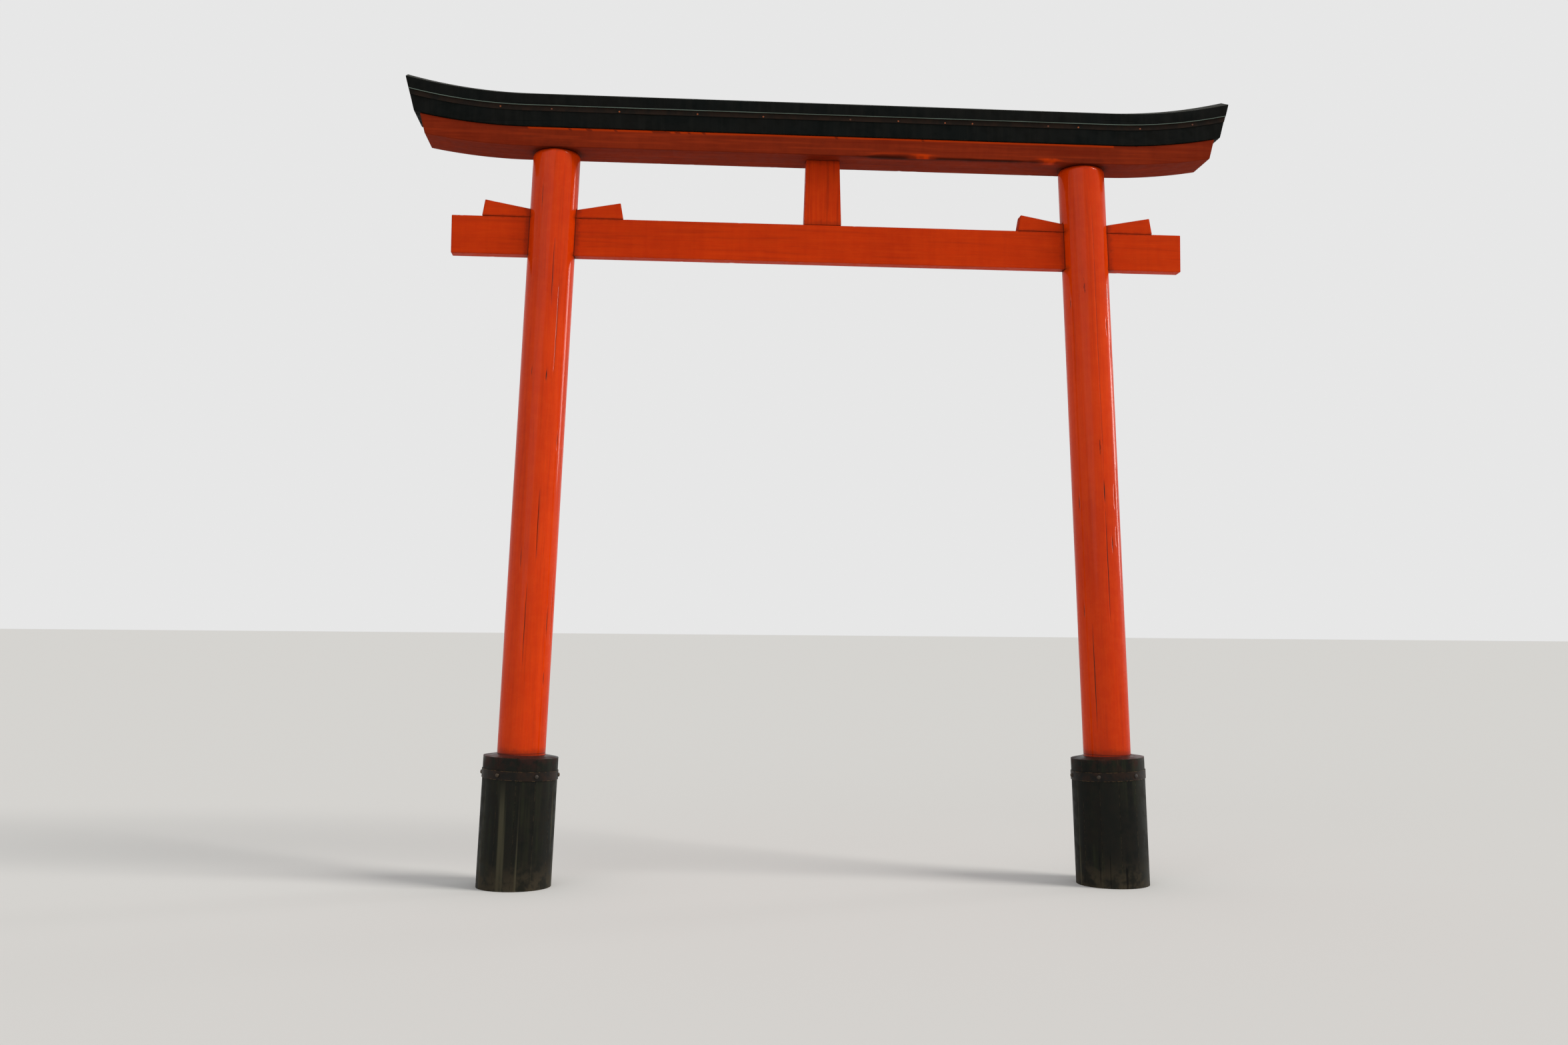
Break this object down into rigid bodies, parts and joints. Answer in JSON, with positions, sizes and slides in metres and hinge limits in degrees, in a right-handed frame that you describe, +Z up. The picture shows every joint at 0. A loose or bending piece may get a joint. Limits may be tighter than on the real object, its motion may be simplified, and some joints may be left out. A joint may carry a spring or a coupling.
{
  "type": "torii gate",
  "caption": "Timber torii gate: two leaning round posts in black stave sleeves, a wedged tie beam, a centre strut, a red lower lintel and a black upper lintel with a pitched cap.",
  "frame": {"origin": "on the ground, midway between the two posts, which is the bottom centre of the bounding box", "axes": "+X along the lintels to the right as seen from the front, +Y through the passage to the back, +Z up"},
  "size_m": [3.7052, 0.3272, 3.5562],
  "materials": {
    "post_paint": "gloss paint",
    "beam_paint": "satin paint",
    "lintel_paint": "satin paint",
    "black_paint": "satin paint",
    "sleeve_paint": "matt paint",
    "flashing": "weathered",
    "hoop_iron": "black"
  },
  "bodies": {
    "root": {"back_flashing": "flashing", "cap": "black_paint", "centre_strut": "beam_paint", "front_flashing": "flashing", "left_hoop": "hoop_iron", "left_inner_wedge": "beam_paint", "left_outer_wedge": "beam_paint", "left_post": "post_paint", "left_stave_01": "sleeve_paint", "left_stave_02": "sleeve_paint", "left_stave_03": "sleeve_paint", "left_stave_04": "sleeve_paint", "left_stave_05": "sleeve_paint", "left_stave_06": "sleeve_paint", "left_stave_07": "sleeve_paint", "left_stave_08": "sleeve_paint", "left_stave_09": "sleeve_paint", "left_stave_10": "sleeve_paint", "left_stave_11": "sleeve_paint", "left_stave_12": "sleeve_paint", "lower_lintel": "lintel_paint", "right_hoop": "hoop_iron", "right_inner_wedge": "beam_paint", "right_outer_wedge": "beam_paint", "right_post": "post_paint", "right_stave_01": "sleeve_paint", "right_stave_02": "sleeve_paint", "right_stave_03": "sleeve_paint", "right_stave_04": "sleeve_paint", "right_stave_05": "sleeve_paint", "right_stave_06": "sleeve_paint", "right_stave_07": "sleeve_paint", "right_stave_08": "sleeve_paint", "right_stave_09": "sleeve_paint", "right_stave_10": "sleeve_paint", "right_stave_11": "sleeve_paint", "right_stave_12": "sleeve_paint", "tie_beam": "beam_paint", "upper_lintel": "black_paint"}
  },
  "joints": []
}
